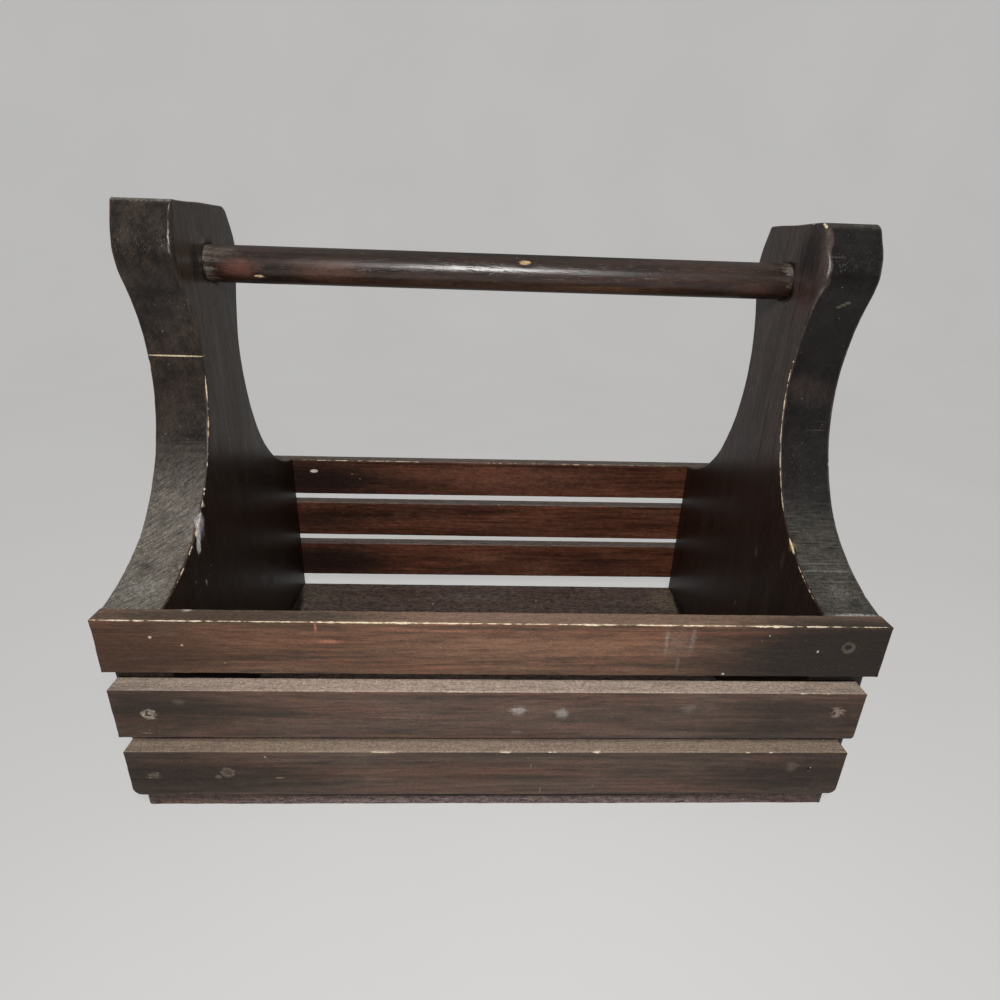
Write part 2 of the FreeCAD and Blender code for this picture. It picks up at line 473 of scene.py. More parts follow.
class Graph:
    """The nodes of a material or world, with one short call for each kind in use.

    colour and rough are what all the layers so far come to.
    """

    def __init__(self, owner):
        owner.use_nodes = True
        self.owner = owner
        self.nodes = owner.node_tree.nodes
        self.links = owner.node_tree.links
        self.shader = self.nodes.get("Principled BSDF")
        self.colour = None
        self.rough = None

    def put(self, socket, value):
        if isinstance(value, Value):
            value = value.socket
        if isinstance(value, bpy.types.NodeSocket):
            self.links.new(value, socket)
        else:
            socket.default_value = value

    def add(self, kind, sockets=None, **settings):
        node = self.nodes.new("ShaderNode" + kind)
        for key, value in settings.items():
            setattr(node, key, value)
        for key, value in (sockets or {}).items():
            self.put(node.inputs[key], value)
        return node

    def math(self, operation, a, b=0.0):
        return Value(self, self.add("Math", {0: a, 1: b}, operation=operation).outputs[0])

    def vector(self, operation, a, b):
        return self.add("VectorMath", {0: a, 1: b}, operation=operation).outputs["Vector"]

    def measure(self, operation, a, b=(0, 0, 0)):
        node = self.add("VectorMath", {0: a, 1: b}, operation=operation)
        return Value(self, node.outputs["Value"])

    def scaled(self, place, factors):
        return self.vector("MULTIPLY", place, factors)

    def moved(self, place, shift):
        return self.vector("ADD", place, shift)

    def brightened(self, colour, amount):
        sockets = {0: colour, "Scale": amount}
        return self.add("VectorMath", sockets, operation="SCALE").outputs[0]

    def apart(self, place):
        return [Value(self, part) for part in self.add("SeparateXYZ", {0: place}).outputs]

    def joined(self, **parts):
        return self.add("CombineXYZ", parts).outputs[0]

    def ease(self, value, low, high):
        """0 below low and 1 above high; low may be the larger."""
        sockets = {"Value": value, "From Min": low, "From Max": high}
        node = self.add("MapRange", sockets, interpolation_type="SMOOTHSTEP")
        return Value(self, node.outputs["Result"])

    def noise(self, place, scale=1.0, detail=2.0, roughness=0.5):
        sockets = {"Vector": place, "Scale": scale, "Detail": detail, "Roughness": roughness}
        return Value(self, self.add("TexNoise", sockets).outputs["Fac"])

    def streaks(self, fibres, along, across, detail, roughness=0.5):
        """Noise drawn out along the grain."""
        return self.noise(self.scaled(fibres, (along, across, across)), 1, detail, roughness)

    def mix(self, share, a, b):
        return self.add("Mix", {0: share, 6: a, 7: b}, data_type="RGBA").outputs[2]

    def blend(self, share, a, b):
        node = self.add("Mix", {0: share, 2: a, 3: b}, data_type="FLOAT")
        return Value(self, node.outputs[0])

    def attribute(self, name):
        return Value(self, self.add("Attribute", attribute_name=name).outputs["Fac"])

    def lay(self, share, colour):
        """Lay a colour over what is there."""
        self.colour = self.mix(share, self.colour, colour)

    def dull(self, share, rough):
        """Draw the roughness towards a value."""
        self.rough = self.blend(share, self.rough, rough)

    def finish(self, height, strength, distance):
        """Put colour, roughness and bump on the shader."""
        sockets = {"Height": height, "Strength": strength, "Distance": distance * MM}
        bump = self.add("Bump", sockets)
        self.put(self.shader.inputs["Base Color"], self.colour)
        self.put(self.shader.inputs["Roughness"], self.rough)
        self.put(self.shader.inputs["Normal"], bump.outputs["Normal"])
        return self.owner


# A mark in a material: where it is, its half sizes, its colour, how strong it is, how much of
# it fades out, how ragged it is, and whether only its rim shows
Spot = namedtuple("Spot", "x y z size colour strength edge ragged ring", defaults=(False,))
# Stain tones of one piece: darkest, usual, warm and rubbed
Tones = namedtuple("Tones", "deep middle warm rubbed")
# Dust on what faces up: its colour, how much of it, and the slopes where it starts and is full
Dust = namedtuple("Dust", "colour amount start full")
# A cut edge across the grain: its colours, how much it shows, how the saw marks slant and how
# often they break off
Sawn = namedtuple("Sawn", "dark pale amount slant broken")
# Noises that more than one layer of the wood reads
Grain = namedtuple("Grain", "late broad streak fibre mottle grit pores")

SPECK = linear(190, 180, 165)
BARE_DARK = linear(176, 140, 98)
BARE_PALE = linear(248, 232, 204)
# Painted shade: this veil darkens each channel by this much, below a level that falls towards the
# back
PAINTED_SHADE_VEIL = (0.32, 0.22, 0.16, 1)
PAINTED_SHADE_LEVEL = 105.6
PAINTED_SHADE_FALL = 0.347
PAINTED_SHADE_EDGE = 5
# The painted shade is on the inner faces alone: it ends between these distances from the middle
PAINTED_SHADE_NEAR, PAINTED_SHADE_FAR = 108, 112


def along_fibres(g, place, grain, seed):
    """Places with X along the grain, elsewhere in the tree for each piece."""
    if grain == "Z":
        x, y, z = g.apart(place)
        place = g.joined(X=z, Y=x, Z=y)
    return g.moved(place, (seed * 371.0, seed * 53.0, seed * 29.0))


def year_rings(g, fibres):
    """1 in late wood. The rings run round a far pith, bent by slow noise."""
    _, y, z = g.apart(fibres)
    across = g.math("SINE", y * 0.021) * 14.0
    sway = g.streaks(fibres, 0.006, 0.03, 2) * 34.0
    ring = g.math("FRACT", (z + across + sway) * 0.36)
    return g.ease(ring, 0.25, 0.9) * g.ease(ring, 1.0, 0.9)


def wood_grain(g, place, fibres):
    """Year rings, slow bands, finer streaks, single fibres and an even finer mottle."""
    return Grain(year_rings(g, fibres), g.streaks(fibres, 0.012, 0.16, 3, 0.6),
                 g.streaks(fibres, 0.03, 0.75, 4, 0.65), g.streaks(fibres, 0.16, 3.0, 3, 0.65),
                 g.streaks(fibres, 0.8, 2.2, 4, 0.75), g.noise(place, 1.9, 3, 0.8),
                 g.ease(g.streaks(fibres, 0.2, 4.5, 1), 0.38, 0.27))


def lay_stain(g, fibres, grain, tones, warm, gloss):
    """The stain, darker in its bands, warmer in patches and hazy where it is rubbed."""
    patch = g.streaks(fibres, 0.016, 0.07, 4, 0.65)
    rubbed = g.streaks(fibres, 0.03, 0.12, 5, 0.7)
    shade = grain.broad * 0.9 + grain.streak * 0.6
    warmth = g.ease(patch, 0.38, 0.7) * g.ease(grain.streak, 0.3, 0.7)
    g.colour = g.mix(g.ease(shade, 0.5, 1.0), tones.deep, tones.middle)
    g.lay(warmth * warm, tones.warm)
    g.lay(grain.late * 0.3, tones.deep)
    g.lay(g.ease(rubbed, 0.5, 0.75) * 0.4, tones.rubbed)
    g.rough = g.blend(g.ease(grain.broad, 0.3, 0.7), gloss - 0.05, gloss + 0.1)


def lay_saw_marks(g, place, x, cut, sawn):
    """Marks across a sawn edge. Returns the saw's teeth, which also hold dust and relief."""
    slid = g.attribute("run") + x * sawn.slant
    teeth = g.noise(g.joined(X=slid, Y=x * sawn.broken), 1.6, 4, 0.75)
    cloud = g.noise(place, 0.12, 4, 0.65)
    toothed = 0.4 - 0.2 * sawn.broken
    tone = teeth * toothed + cloud * (1.1 - toothed)
    tone = g.mix(g.ease(tone, 0.4, 0.7), linear(*sawn.dark), linear(*sawn.pale))
    g.lay(cut * sawn.amount, tone)
    return teeth


def lay_dust(g, place, fibres, up, dust, cut, teeth):
    """Dust where the wood faces up, thinner between saw marks."""
    film = g.noise(place, 1.5, 4, 0.7)
    if cut:
        film = g.blend(cut * 0.85, film, teeth)
    thin = 0.25 if cut else 0.65
    drift = g.streaks(fibres, 0.02, 0.14, 3, 0.6)
    settled = g.ease(up, dust.start, dust.full) * g.ease(drift, 0.05, 0.5)
    settled = settled * g.blend(g.ease(film, 0.36, 0.6), thin, 1.0) * dust.amount
    g.lay(settled, g.brightened(linear(*dust.colour)[:3], film * 0.7 + 0.65))
    g.dull(settled, 0.8)


def lay_painted_shade(g, place, x, cut):
    """Painted shade on the inner faces, below a line that falls towards the back, where their sheen
    mirrors the dark slats.
    """
    level = g.measure("DOT_PRODUCT", place, (0, PAINTED_SHADE_FALL, 1))
    within = g.ease(g.math("ABSOLUTE", x), PAINTED_SHADE_FAR, PAINTED_SHADE_NEAR)
    shaded_share = g.ease(level, PAINTED_SHADE_LEVEL + PAINTED_SHADE_EDGE, PAINTED_SHADE_LEVEL - PAINTED_SHADE_EDGE) * within
    shaded_share = shaded_share * (1.0 - cut)
    g.colour = g.vector("MULTIPLY", g.colour, g.mix(shaded_share, (1, 1, 1, 1), PAINTED_SHADE_VEIL))
    g.dull(shaded_share * 0.8, 0.4)


def lay_marks(g, place, fibres, spots):
    """Marks with crumbly edges."""
    drawn = g.scaled(fibres, (0.3, 1, 1))
    flecks = g.ease(g.noise(drawn, 2.6, 3, 0.8), 0.42, 0.56)
    for mark in (Spot(*row) for row in spots):
        offset = g.vector("SUBTRACT", place, mark[:3])
        crumbs = g.noise(drawn, min(2.6 / min(mark.size), 3.0), 4, 0.75)
        reach = g.measure("LENGTH", g.vector("DIVIDE", offset, mark.size))
        reach = reach + (crumbs - 0.5) * (mark.ragged * 3)
        if mark.ring:
            reach = g.math("ABSOLUTE", reach - 0.8) * 3.2
        cover = g.ease(reach, 1.0, 1 - mark.edge) * mark.strength
        cover = cover * g.blend(flecks, 1 - 0.6 * mark.ragged, 1.0)
        g.lay(cover, linear(*mark.colour))
        g.dull(cover * 0.8, 0.75)


def lay_grit(g, fibres, grain, gritty):
    """Pores, fibres, mottle and grit darken and lighten everything."""
    grainy = grain.fibre * 1.1 + grain.mottle * 1.2 + grain.grit * gritty
    grainy = grainy - (0.12 + 0.5 * gritty) - grain.pores * 0.3
    blotch = g.streaks(fibres, 0.3, 0.7, 3, 0.75)
    grainy = grainy + (blotch - 0.5) * (1.3 * (gritty - 1.0))
    g.colour = g.brightened(g.colour, grainy)


def lay_scratches(g, place, seed, tone, amount):
    """Fine pale specks and scratches."""
    specks = g.ease(g.noise(g.moved(place, (seed * 7.0, 0, 0)), 1.5, 0), 0.872, 0.885)
    g.lay(specks * 0.6, SPECK)
    sockets = {"Vector": place, "Rotation": (0.3, 0.5, 0.6), "Scale": (0.05, 1.6, 1.6)}
    slant = g.add("Mapping", sockets).outputs[0]
    g.lay(g.ease(g.noise(slant, 1, 0), 0.8, 0.83) * amount, tone)


def lay_bare_wood(g, fibres, grain):
    """Bare wood along rubbed edges."""
    crumble = g.noise(g.scaled(fibres, (0.4, 1.2, 1.2)), 1.2, 3, 0.7)
    bare = g.ease(g.attribute("bare") + (crumble - 0.5) * 1.1, 0.48, 0.62)
    g.lay(bare, g.mix(g.ease(grain.mottle, 0.3, 0.62), BARE_DARK, BARE_PALE))
    g.dull(bare, 0.6)


def wood_relief(grain, teeth_height):
    """Height of the wood: fibres stand up, while pores and late wood lie low."""
    height = grain.fibre * 0.5 + grain.streak * 0.6 - grain.pores * 0.5 - grain.late * 0.25
    return height + grain.grit * 0.5 + teeth_height


def stained_wood(name, grain_axis, seed, tones, spots, dust, warm=0.5, sawn=None, gloss=0.42,
                 sheen=0.35, gritty=1.2):
    """Dark stained softwood with grain, dust, specks, scratches and rubbed edges."""
    g = Graph(bpy.data.materials.new(name))
    tones = Tones(*(linear(*tone) for tone in tones))
    source = g.add("TexCoord").outputs
    place = g.scaled(source["Object"], (1 / MM, 1 / MM, 1 / MM))
    fibres = along_fibres(g, place, grain_axis, seed)
    grain = wood_grain(g, place, fibres)
    lay_stain(g, fibres, grain, tones, warm, gloss)
    cut, teeth, teeth_height = None, None, 0.0
    if sawn:
        cut = g.attribute("sawn")
        x = g.apart(place)[0]
        teeth = lay_saw_marks(g, place, x, cut, sawn)
        teeth_height = teeth * cut * 1.2
    lay_dust(g, place, fibres, g.apart(source["Normal"])[2], dust, cut, teeth)
    if sawn:
        # Painted shade: the inner faces are darkened below a sloping line
        lay_painted_shade(g, place, x, cut)
    lay_marks(g, place, fibres, spots)
    lay_grit(g, fibres, grain, gritty)
    lay_scratches(g, place, seed, tones.rubbed, 0.25 if sawn else 0.08)
    lay_bare_wood(g, fibres, grain)
    g.shader.inputs["Specular IOR Level"].default_value = sheen
    return g.finish(wood_relief(grain, teeth_height), 0.5, 0.12)


def dull_steel():
    """The nails: dark oxidised wire with duller patches."""
    g = Graph(bpy.data.materials.new("dull_steel"))
    place = g.scaled(g.add("TexCoord").outputs["Object"], (1 / MM, 1 / MM, 1 / MM))
    patches = g.noise(place, 1.3, 4, 0.7)
    g.colour = g.mix(g.ease(patches, 0.35, 0.7), linear(58, 52, 48), linear(112, 104, 96))
    g.rough = g.blend(patches, 0.35, 0.7)
    g.shader.inputs["Metallic"].default_value = 0.85
    return g.finish(patches, 0.4, 0.05)


# Slats

SLAT_STEP = 1.0
NAIL_HEAD = 2.8
LEVELS = ("top", "middle", "bottom")


def slat(name, ends, corners, base, coverage, chips, dents, seed, shifts=(0, 0, 0, 0)):
    """One slat, seen from the front. Face 0 looks out of the tote and face 1 into it.

    ends are its x from left to right, and chips are face 0's and face 1's. shifts moves its
    four corners up or down: a hand-nailed slat isn't quite level.
    """
    low, high = node_box(name)
    front = low[1] < 0
    ring = [(ends[0], low[2] + shifts[0]), (ends[1], low[2] + shifts[1]),
            (ends[1], high[2] + shifts[2]), (ends[0], high[2] + shifts[3])]
    rounds = [(u, v, radius) for (u, v), radius in zip(ring, corners)]
    outline = worn_outline(ring, rounds, SLAT_STEP)
    upper = np.where(outline[:, 1] > (low[2] + high[2]) / 2, 1, 0.25)
    edges = [edge_wear(outline, face, base[face], coverage[face] * upper, chips[face],
                       seed + WORN_SEED * face) for face in (0, 1)]

    def place(rows):
        depth = low[1] + rows[:, 2] if front else high[1] - rows[:, 2]
        return np.column_stack([rows[:, 0], depth, rows[:, 1]])

    return board(name + "_wood", outline, high[1] - low[1], place, edges, 1.9, 4, seed,
                 dents=dents, waves=0.08, grain=0, saw=0.02)


# End boards

BOARD_STEP = 0.6
HORN_DROP = 1.1
HEAD_HEIGHT = 19.0
WAIST_HALF = 17.8
WAIST_RISE_SHARE = 0.653
EAR_HALF = 27.3
SHOULDER_DROP = 11.5
SCOOP_POINTS = 60
# Where the flat crown ends and how rounded its corners are, front and back
CROWNS = {"left": ((-22.6, 2.0), (20.2, 4.0)), "right": ((-20.2, 3.5), (20.6, 1.5))}
# How much thinner each board is planed over this stretch towards its back edge
SPREAD = {"left": 1.1, "right": 1.5}
SPREAD_LENGTH = 65
EAR_ROUND = 7.0
SHOULDER_ROUND = 8.0
HORN_ROUND = 1.4
BARE_TOP = 150.0              # above this height only single chips show bare wood
TRIMMED = 0.3                 # how far the outline is worn back above the slats
SLATS_TOP, SLATS_CLEAR = 84, 92
SOCKET_GAP = 0.05
SOCKET_DEPTH = 10.0


def end_outline(side):
    """An end board seen from the side, as (y, z)."""
    low, high = node_box(side + "_end_board")
    crown_z = high[2]
    horn_z = node_box("front_slat_top")[1][2] - HORN_DROP
    ear_z = crown_z - HEAD_HEIGHT
    waist_z = horn_z + WAIST_RISE_SHARE * (ear_z - horn_z)
    halves, rounds = [], []
    for sign, (crown_y, crown_round) in zip((-1, 1), CROWNS[side]):
        horn = (sign * high[1], horn_z)
        ear = (sign * EAR_HALF, ear_z)
        shoulder = (sign * EAR_HALF, crown_z - SHOULDER_DROP)
        scoop = arc_points(horn, (sign * WAIST_HALF, waist_z), ear, SCOOP_POINTS)
        halves.append([(sign * high[1], low[2]), horn] + scoop + [ear, shoulder, (crown_y, crown_z)])
        rounds += [horn + (HORN_ROUND,), ear + (EAR_ROUND,), shoulder + (SHOULDER_ROUND,),
                   (crown_y, crown_z, crown_round)]
    return worn_outline(halves[1] + halves[0][::-1], rounds, BOARD_STEP)


def end_board(side, chips, seed):
    """One end board. Face 0 looks away from the tote and face 1, which is chipped, into it."""
    low, high = node_box(side + "_end_board")
    outline = end_outline(side)
    wander = value_noise(np.column_stack([outline * 0.07, 0 * outline[:, 0]]), seed + 30)
    free = smooth_step(outline[:, 1], SLATS_TOP, SLATS_CLEAR)
    outline = outline - outward(outline) * (TRIMMED * free * (1 + wander))[:, None]
    edges = []
    for face in (0, 1):
        coverage = np.where(outline[:, 1] < BARE_TOP, (0.1, 0.22)[face], 0)
        radius, bare = edge_wear(outline, face, 0.6, coverage, chips if face else (),
                                 seed + WORN_SEED * face)
        buried = outline[:, 1] < low[2] + 1
        edges.append((np.where(buried, 0.3, radius), np.where(buried, 0, bare)))

    def place(rows):
        planed = SPREAD[side] * smooth_step(rows[:, 0], 0, SPREAD_LENGTH)
        inward = rows[:, 2] * (1 - planed / (high[0] - low[0]))
        depth = low[0] + inward if side == "left" else high[0] - inward
        return np.column_stack([depth, rows[:, 0], rows[:, 1]])

    socket = Hole(0, ROD_Z, ROD_RADIUS + SOCKET_GAP, SOCKET_DEPTH)
    return board(side + "_end_board_wood", outline, high[0] - low[0], place, edges, 2.4, 10, seed,
                 dents=[Dent(0, ROD_Z, 1.5, 0.5)], hole=socket, waves=0.12, grain=2, saw=0.09)


# Bottom board

BOTTOM_SHORT = 1.2            # the board ends this far inside the right end board's outer face


def bottom_board(seed):
    """The thin board under both end boards."""
    low, high = node_box("bottom_board")
    right = high[0] - BOTTOM_SHORT
    ring = [(low[0], low[1]), (right, low[1]), (right, high[1]), (low[0], high[1])]
    rounds = [(u, v, radius) for (u, v), radius in zip(ring, (2.2, 1.2, 1.2, 1.6))]
    outline = worn_outline(ring, rounds, SLAT_STEP, 0.35)
    edges = [edge_wear(outline, face, 0.55, 0.15, (), seed + WORN_SEED * face) for face in (0, 1)]

    def place(rows):
        return np.column_stack([rows[:, 0], rows[:, 1], low[2] + rows[:, 2]])

    dimples = []
    for side in ("left", "right"):
        nail_low, nail_high = node_box(side + "_bottom_nails")
        x = (nail_low[0] + nail_high[0]) / 2
        reach = nail_high[1] - NAIL_HEAD / 2
        dimples += [Dent(x, y, 1.5, 0.45) for y in (-reach, 0, reach)]
    return board("bottom_board_wood", outline, high[2] - low[2], place, edges, 3.2, 4, seed,
                 dents=dimples, waves=0.07, grain=0, saw=0.02)


# Handle

ROD_STEP = 1.1
ROD_SIDES = 56
ROD_BEVEL = 0.8
ROD_TIP = 0.5                 # radius of the small flat in the middle of each end
ROD_LOW, ROD_HIGH = node_box("handle_dowel")
ROD_Z = (ROD_LOW[2] + ROD_HIGH[2]) / 2
ROD_RADIUS = (ROD_HIGH[2] - ROD_LOW[2]) / 2


def handle(chips, seed):
    """The dowel, bevelled at its ends, slightly uneven and chipped."""
    start, end, small = ROD_LOW[0], ROD_HIGH[0], ROD_RADIUS - ROD_BEVEL
    stations = [(start, ROD_TIP), (start, small)]
    stations += [(x, ROD_RADIUS) for x in np.arange(start + ROD_BEVEL, end - ROD_BEVEL, ROD_STEP)]
    stations += [(end - ROD_BEVEL, ROD_RADIUS), (end, small), (end, ROD_TIP)]
    turns = np.arange(ROD_SIDES) * 2 * math.pi / ROD_SIDES
    world = np.concatenate([
        np.column_stack([np.full(ROD_SIDES, x), r * np.cos(turns), ROD_Z + r * np.sin(turns)])
        for x, r in stations])
    last = (len(stations) - 1) * ROD_SIDES
    faces = []
    for first in range(0, last, ROD_SIDES):
        faces += strip(first, first + ROD_SIDES, ROD_SIDES)
    faces += [tuple(range(ROD_SIDES)), tuple(range(last, last + ROD_SIDES))]
    mesh = smooth_mesh("handle_wood", world, faces)
    sink = weathering(world, seed, 0.09, 0)
    for at, size, depth in chips:
        reach = (((world - at) / size) ** 2).sum(axis=1)
        sink = sink + depth * np.exp(-reach ** 2)
    press_in(mesh, world, sink)
    zero = np.zeros(len(world))
    give_attributes(mesh, bare=zero, sawn=zero, run=zero)
    return dressed("handle_wood", mesh)


def on_rod(x, z):
    """A place on the front of the dowel."""
    return (x, -math.sqrt(ROD_RADIUS ** 2 - (z - ROD_Z) ** 2), z)


# Stains, and the dust on each piece

FRONT_TONES = Tones((54, 42, 32), (124, 90, 69), (146, 86, 62), (136, 110, 94))
GREY_TONES = Tones((54, 44, 36), (102, 83, 71), (120, 78, 62), (116, 100, 86))
BACK_TONES = Tones((54, 30, 20), (106, 64, 47), (138, 80, 57), (122, 90, 72))
LEFT_TONES = Tones((32, 26, 20), (72, 59, 48), (82, 59, 46), (102, 93, 81))
RIGHT_TONES = Tones((42, 33, 30), (89, 75, 69), (100, 72, 64), (114, 104, 98))
HANDLE_TONES = Tones((25, 17, 12), (54, 37, 28), (90, 52, 39), (82, 62, 52))
BOTTOM_TONES = Tones((60, 46, 40), (106, 82, 73), (114, 78, 66), (138, 122, 112))
FRONT_STAINS = {"top": FRONT_TONES, "middle": GREY_TONES, "bottom": GREY_TONES}
END_STAINS = {"left": LEFT_TONES, "right": RIGHT_TONES}

FRONT_DUST = {
    "top": Dust((150, 126, 108), 0.75, 0.35, 0.95),
    "middle": Dust((202, 181, 164), 0.95, 0.35, 0.95),
    "bottom": Dust((176, 155, 136), 0.95, 0.35, 0.95),
}
BACK_DUST = Dust((144, 134, 125), 0.85, 0.35, 0.95)
END_DUST = {"left": Dust((140, 133, 123), 0.9, 0.33, 0.8),
            "right": Dust((94, 90, 82), 0.85, 0.45, 0.95)}
HANDLE_DUST = Dust((80, 74, 66), 0.2, 0.5, 1.0)
BOTTOM_DUST = Dust((132, 120, 110), 0.4, 0.35, 0.95)
END_SAWN = {"left": Sawn((20, 15, 12), (62, 52, 45), 0.92, 0.9, 0.13),
            "right": Sawn((4, 4, 4), (27, 24, 22), 0.96, 0.0, 0.1)}


# Marks, each as the fields of a Spot, broad zones before small ones; the painted shade, painted
# light and painted highlights among them are noted where they stand. These are the planes of the
# faces that they lie on.

FRONT = node_box("front_slat_top")[0][1]
BACK = node_box("back_slat_top")[0][1]
LEFT = node_box("left_end_board")[1][0]
RIGHT = node_box("right_end_board")[0][0]
FLOOR = node_box("bottom_board")[1][2]

FRONT_MARKS = {
    "top": [
        (-72, FRONT, 73, (46, 6, 6), (122, 80, 58), 0.45, 0.95, 0.5),
        (10, FRONT, 72, (62, 6, 8), (148, 108, 86), 0.5, 0.95, 0.5),
        (-51, FRONT, 73.5, (5, 3, 0.9), (198, 130, 108), 0.7, 0.9, 0.6),
        (-54.8, FRONT, 78.4, (0.5, 3, 2.2), (200, 132, 110), 0.6, 0.8, 0.4),
        (-15, FRONT, 77.6, (30, 3, 0.6), (176, 120, 98), 0.5, 0.9, 0.8),
        (54, FRONT, 74, (5.5, 3, 8), (134, 124, 116), 0.35, 0.9, 0.9),
        (50.5, FRONT, 75, (0.9, 3, 6), (160, 152, 146), 0.5, 0.9, 0.9),
        (58.5, FRONT, 75, (1.2, 3, 6), (160, 152, 146), 0.5, 0.9, 0.9),
        (55, FRONT, 67, (0.7, 3, 5), (140, 132, 126), 0.4, 0.9, 0.9),
        # Painted shade: the top slat darkens towards both ends, where the light falls off
        (112, FRONT, 69, (68, 6, 22), (38, 31, 26), 1.0, 0.6, 0.12),
        (-114, FRONT, 69, (54, 6, 16), (66, 44, 31), 0.8, 0.8, 0.2),
        (-78, FRONT + 3, 80.4, (60, 5, 2), (62, 54, 44), 0.8, 0.6, 0.4),
        (-93.9, FRONT + 6, 80.2, (2.4, 1.4, 1.8), (216, 210, 198), 0.9, 0.7, 0.8),
        (-2, FRONT + 3, 80.4, (40, 4, 1.6), (146, 120, 104), 0.5, 0.8, 0.5),
        (104, FRONT + 3, 80.4, (40, 5, 2), (66, 58, 50), 0.75, 0.7, 0.5),
        (10, FRONT, 79, (34, 4, 1.8), (66, 60, 50), 0.5, 0.8, 0.6),
        (98.2, FRONT, 71.2, (0.45, 1, 0.6), (190, 182, 164), 0.9, 0.5, 0.3),
        (82, FRONT, 76.9, (0.4, 1, 0.45), (190, 180, 160), 0.8, 0.5, 0.3),
        (107.5, FRONT, 72.6, (2.0, 2, 2.0), (118, 108, 94), 0.45, 0.5, 0.35, True),
        (-103.2, FRONT, 74.5, (0.6, 1, 0.6), (212, 190, 176), 0.9, 0.4, 0.2),
        (-94.4, FRONT, 71.8, (0.5, 1, 0.5), (210, 170, 150), 0.8, 0.4, 0.2),
        (69.9, FRONT, 62.6, (0.5, 1, 0.5), (215, 210, 200), 0.9, 0.4, 0.2),
    ],
    "middle": [
        (0, FRONT, 46, (70, 6, 12), (104, 88, 78), 0.4, 0.9, 0.6),
        # Painted shade: the middle slat darkens towards both ends, where the light falls off
        (-108, FRONT, 46, (54, 6, 14), (44, 35, 28), 0.75, 0.9, 0.3),
        (106, FRONT, 46, (54, 6, 14), (44, 34, 29), 0.72, 0.9, 0.3),
        (6.4, FRONT, 47.9, (3.4, 2, 2.2), (176, 170, 164), 0.7, 0.6, 0.7),
        (20.5, FRONT, 46.8, (2.7, 2, 2.4), (172, 166, 160), 0.65, 0.6, 0.8),
        (61, FRONT, 49, (3.4, 2, 2.4), (140, 132, 124), 0.4, 0.8, 0.8),
        (-99, FRONT, 50.7, (3.0, 2, 1.5), (140, 132, 122), 0.3, 0.8, 0.8),
        (-28, FRONT, 44.7, (24, 2, 0.6), (148, 108, 92), 0.5, 0.9, 0.8),
        (-109.1, FRONT, 45.8, (2.3, 2, 1.9), (182, 170, 150), 0.8, 0.5, 0.8, True),
        (-108.6, FRONT, 45.9, (1.2, 2, 1.0), (176, 164, 146), 0.7, 0.5, 0.8),
        (110.6, FRONT, 47.6, (2.6, 2, 2.4), (176, 152, 140), 0.7, 0.4, 1.0),
        (109.6, FRONT, 46.8, (0.8, 2, 0.7), (20, 16, 14), 0.9, 0.5, 0.4),
        (111.4, FRONT, 48.6, (0.6, 2, 0.5), (22, 18, 16), 0.8, 0.5, 0.4),
        (-111, FRONT, 38.3, (2.6, 2, 0.5), (134, 110, 92), 0.6, 0.6, 0.5),
        (6.4, FRONT, 39.1, (2.6, 2, 0.6), (130, 124, 112), 0.5, 0.6, 0.9),
    ],
    "bottom": [
        (-20, FRONT, 22, (60, 6, 5), (106, 70, 56), 0.5, 0.9, 0.7),
        # Painted shade: the bottom slat darkens towards both ends, where the light falls off
        (-108, FRONT, 20, (68, 6, 15), (34, 25, 18), 0.82, 0.9, 0.25),
        (108, FRONT, 20, (66, 6, 15), (36, 28, 23), 0.82, 0.9, 0.25),
        (-111.6, FRONT, 20.4, (2.4, 2, 1.8), (140, 126, 110), 0.65, 0.6, 0.9),
        (-110.5, FRONT, 21.3, (0.4, 1, 0.4), (225, 205, 185), 0.9, 0.4, 0.2),
        (-87.9, FRONT, 21.7, (2.1, 2, 1.9), (138, 124, 110), 0.55, 0.5, 0.5, True),
        (-87.9, FRONT, 21.7, (1.5, 2, 1.3), (112, 96, 84), 0.5, 0.5, 0.5),
        (-91.3, FRONT, 19.8, (1.3, 2, 1.1), (128, 112, 98), 0.6, 0.5, 0.4),
        (106.6, FRONT, 23.0, (1.0, 2, 0.9), (20, 16, 14), 0.9, 0.4, 0.3),
        (107.1, FRONT, 23.4, (0.35, 1, 0.35), (225, 215, 200), 0.95, 0.4, 0.1),
        (100.1, FRONT, 24.4, (3.2, 2, 2.6), (134, 120, 108), 0.45, 0.8, 0.9),
        (-75.1, FRONT, 28.4, (0.5, 1, 0.6), (200, 180, 165), 0.7, 0.5, 0.2),
        (-71.2, FRONT, 19.3, (1.9, 1, 0.5), (150, 126, 108), 0.7, 0.5, 0.4),
        (11.7, FRONT, 24.5, (0.3, 1, 1.3), (140, 130, 120), 0.6, 0.5, 0.2),
        (15.3, FRONT, 13.8, (0.35, 1, 1.5), (140, 130, 120), 0.6, 0.5, 0.2),
    ],
}
